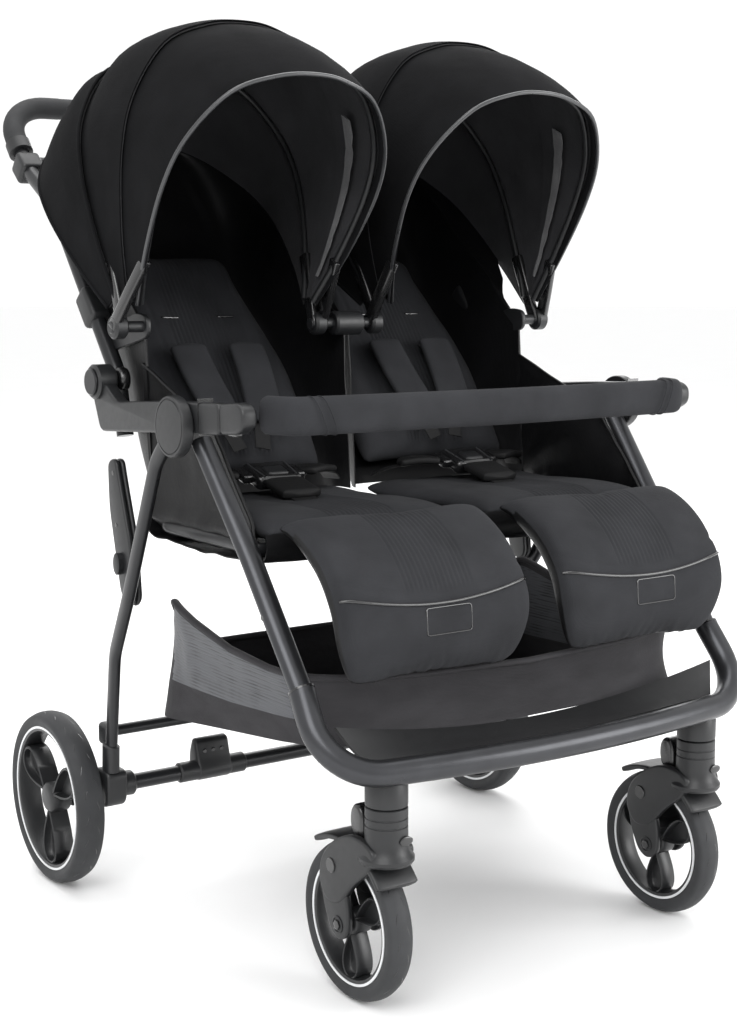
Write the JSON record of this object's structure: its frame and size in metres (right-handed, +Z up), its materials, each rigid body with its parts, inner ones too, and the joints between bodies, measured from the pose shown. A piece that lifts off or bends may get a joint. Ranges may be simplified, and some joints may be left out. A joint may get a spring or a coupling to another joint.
{
  "type": "twin pushchair",
  "caption": "Side-by-side twin pushchair on a folding tube frame, with arched canopies, reclining seats, hinged calf rests, a bumper bar, a basket, swivel casters and sprung wheels.",
  "frame": {"origin": "on the floor, at the middle of the length and width", "axes": "+Z up, the children face -Y, +X is to the right of someone who looks at the front"},
  "size_m": [0.758, 0.9303, 1.137],
  "materials": {
    "graphite_metal": "satin graphite powder coat",
    "black_tube": "satin black powder coat",
    "black_plastic": "fine-grained moulded black",
    "rim_plastic": "satin moulded black",
    "tyre_rubber": "matte dark grey rubber",
    "grip_foam": "soft matte foam",
    "canopy_cloth": "matte black woven cloth",
    "liner_cloth": "charcoal ribbed knit",
    "side_cloth": "slightly shiny black nylon",
    "basket_cloth": "dark woven cloth with mesh windows",
    "buckle_plastic": "glossy moulded black",
    "ring_silver": "silver-white line",
    "webbing": "flat woven webbing",
    "mesh_cloth": "open mesh",
    "canopy_lining": "smooth dark lining",
    "piping": "glossy edge piping"
  },
  "bodies": {
    "front_frame": {"front_u_bar": "graphite_metal", "foot_tray": "black_plastic", "seat_frame": "black_tube", "basket": "basket_cloth", "front_leg_left": "graphite_metal", "arm_left": "black_plastic", "caster_socket_left": "black_plastic", "seat_pad_left": "liner_cloth", "side_panel_left": "side_cloth", "buckle_left": "buckle_plastic", "front_leg_right": "graphite_metal", "arm_right": "black_plastic", "caster_socket_right": "black_plastic", "seat_pad_right": "liner_cloth", "side_panel_right": "side_cloth", "buckle_right": "buckle_plastic"},
    "bumper": {"bumper_bar": "liner_cloth", "bumper_end_left": "black_plastic", "bumper_end_right": "black_plastic"},
    "handle_frame": {"handle_tube": "black_tube", "handle_grip": "grip_foam", "centre_strut": "black_tube", "canopy_rear_left": "canopy_cloth", "canopy_rear_right": "canopy_cloth"},
    "rear_frame": {"rear_axle": "black_tube", "rear_crossbar": "black_tube", "rear_leg_left": "black_tube", "lock_housing_left": "black_plastic", "rear_leg_right": "black_tube", "lock_housing_right": "black_plastic"},
    "brake": {"brake_pedal": "black_plastic"},
    "canopy_middle_left": {"canopy_middle_left": "canopy_cloth"},
    "canopy_front_left": {"canopy_front_left": "canopy_cloth", "canopy_bow_left": "black_plastic"},
    "backrest_left": {"backrest_left": "liner_cloth"},
    "calf_rest_left": {"calf_rest_left": "liner_cloth"},
    "caster_left": {"caster_fork_left": "black_plastic"},
    "swivel_lock_left": {"swivel_lock_left": "black_plastic"},
    "caster_arm_left": {"caster_arm_left": "black_plastic"},
    "front_wheel_left": {"front_tyre_left": "tyre_rubber", "front_rim_left": "rim_plastic"},
    "rear_wheel_left": {"rear_tyre_left": "tyre_rubber", "rear_rim_left": "rim_plastic"},
    "bumper_button_left": {"bumper_button_left": "black_plastic"},
    "lock_knob_left": {"lock_knob_left": "black_plastic"},
    "canopy_middle_right": {"canopy_middle_right": "canopy_cloth"},
    "canopy_front_right": {"canopy_front_right": "canopy_cloth", "canopy_bow_right": "black_plastic"},
    "backrest_right": {"backrest_right": "liner_cloth"},
    "calf_rest_right": {"calf_rest_right": "liner_cloth"},
    "caster_right": {"caster_fork_right": "black_plastic"},
    "swivel_lock_right": {"swivel_lock_right": "black_plastic"},
    "caster_arm_right": {"caster_arm_right": "black_plastic"},
    "front_wheel_right": {"front_tyre_right": "tyre_rubber", "front_rim_right": "rim_plastic"},
    "rear_wheel_right": {"rear_tyre_right": "tyre_rubber", "rear_rim_right": "rim_plastic"},
    "bumper_button_right": {"bumper_button_right": "black_plastic"},
    "lock_knob_right": {"lock_knob_right": "black_plastic"}
  },
  "joints": [
    {"name": "frame_fold", "type": "hinge", "parent": "front_frame", "child": "handle_frame", "pos_m": [0, 0.082, 0.681], "axis": [-1, 0, 0], "range_deg": [0, 110]},
    {"name": "rear_legs_fold", "type": "hinge", "parent": "front_frame", "child": "rear_frame", "pos_m": [0, -0.14, 0.641], "axis": [-1, 0, 0], "range_deg": [0, 30]},
    {"name": "bumper_pull", "type": "slide", "parent": "front_frame", "child": "bumper", "axis": [0, -1, 0], "range_m": [0, 0.06]},
    {"name": "brake_press", "type": "hinge", "parent": "rear_frame", "child": "brake", "pos_m": [0, 0.102, 0.146], "axis": [1, 0, 0], "range_deg": [0, 18]},
    {"name": "canopy_middle_left", "type": "hinge", "parent": "handle_frame", "child": "canopy_middle_left", "pos_m": [0, 0.023, 0.751], "axis": [-1, 0, 0], "range_deg": [0, 27]},
    {"name": "canopy_front_left", "type": "hinge", "parent": "canopy_middle_left", "child": "canopy_front_left", "pos_m": [0, 0.023, 0.751], "axis": [-1, 0, 0], "range_deg": [0, 27]},
    {"name": "recline_left", "type": "hinge", "parent": "handle_frame", "child": "backrest_left", "pos_m": [0, 0.028, 0.556], "axis": [-1, 0, 0], "range_deg": [0, 22]},
    {"name": "calf_rest_lift_left", "type": "hinge", "parent": "front_frame", "child": "calf_rest_left", "pos_m": [0, -0.27, 0.524], "axis": [-1, 0, 0], "range_deg": [0, 50]},
    {"name": "caster_swivel_left", "type": "hinge", "parent": "front_frame", "child": "caster_left", "pos_m": [-0.237, -0.41, 0.241], "axis": [0, 0, 1], "continuous": true},
    {"name": "swivel_lock_press_left", "type": "hinge", "parent": "caster_left", "child": "swivel_lock_left", "pos_m": [-0.237, -0.382, 0.204], "axis": [-1, 0, 0], "range_deg": [0, 20]},
    {"name": "front_suspension_left", "type": "hinge", "parent": "caster_left", "child": "caster_arm_left", "pos_m": [-0.237, -0.342, 0.158], "axis": [1, 0, 0], "range_deg": [0, 6], "stiffness_Nm_per_rad": 900, "springref_deg": -1.72},
    {"name": "front_wheel_spin_left", "type": "hinge", "parent": "caster_arm_left", "child": "front_wheel_left", "pos_m": [-0.237, -0.3535, 0.0915], "axis": [1, 0, 0], "continuous": true},
    {"name": "rear_wheel_spin_left", "type": "hinge", "parent": "rear_frame", "child": "rear_wheel_left", "pos_m": [-0.36, 0.19, 0.116], "axis": [1, 0, 0], "continuous": true},
    {"name": "bumper_button_press_left", "type": "slide", "parent": "bumper", "child": "bumper_button_left", "axis": [0, 0, 1], "range_m": [0, 0.0015], "stiffness_N_per_m": 300},
    {"name": "lock_knob_pull_left", "type": "slide", "parent": "rear_frame", "child": "lock_knob_left", "axis": [-1, 0, 0], "range_m": [0, 0.004], "stiffness_N_per_m": 300},
    {"name": "canopy_middle_right", "type": "hinge", "parent": "handle_frame", "child": "canopy_middle_right", "pos_m": [0, 0.023, 0.751], "axis": [-1, 0, 0], "range_deg": [0, 27]},
    {"name": "canopy_front_right", "type": "hinge", "parent": "canopy_middle_right", "child": "canopy_front_right", "pos_m": [0, 0.023, 0.751], "axis": [-1, 0, 0], "range_deg": [0, 27]},
    {"name": "recline_right", "type": "hinge", "parent": "handle_frame", "child": "backrest_right", "pos_m": [0, 0.028, 0.556], "axis": [-1, 0, 0], "range_deg": [0, 22]},
    {"name": "calf_rest_lift_right", "type": "hinge", "parent": "front_frame", "child": "calf_rest_right", "pos_m": [0, -0.27, 0.524], "axis": [-1, 0, 0], "range_deg": [0, 50]},
    {"name": "caster_swivel_right", "type": "hinge", "parent": "front_frame", "child": "caster_right", "pos_m": [0.237, -0.41, 0.241], "axis": [0, 0, 1], "continuous": true},
    {"name": "swivel_lock_press_right", "type": "hinge", "parent": "caster_right", "child": "swivel_lock_right", "pos_m": [0.237, -0.382, 0.204], "axis": [-1, 0, 0], "range_deg": [0, 20]},
    {"name": "front_suspension_right", "type": "hinge", "parent": "caster_right", "child": "caster_arm_right", "pos_m": [0.237, -0.342, 0.158], "axis": [1, 0, 0], "range_deg": [0, 6], "stiffness_Nm_per_rad": 900, "springref_deg": -1.72},
    {"name": "front_wheel_spin_right", "type": "hinge", "parent": "caster_arm_right", "child": "front_wheel_right", "pos_m": [0.237, -0.3535, 0.0915], "axis": [1, 0, 0], "continuous": true},
    {"name": "rear_wheel_spin_right", "type": "hinge", "parent": "rear_frame", "child": "rear_wheel_right", "pos_m": [0.36, 0.19, 0.116], "axis": [1, 0, 0], "continuous": true},
    {"name": "bumper_button_press_right", "type": "slide", "parent": "bumper", "child": "bumper_button_right", "axis": [0, 0, 1], "range_m": [0, 0.0015], "stiffness_N_per_m": 300},
    {"name": "lock_knob_pull_right", "type": "slide", "parent": "rear_frame", "child": "lock_knob_right", "axis": [1, 0, 0], "range_m": [0, 0.004], "stiffness_N_per_m": 300}
  ],
  "couplings": [
    {"joint": "rear_legs_fold", "follows": "frame_fold", "ratio": 0.27273},
    {"joint": "canopy_middle_left", "follows": "canopy_front_left", "ratio": 1},
    {"joint": "canopy_middle_right", "follows": "canopy_front_right", "ratio": 1}
  ]
}
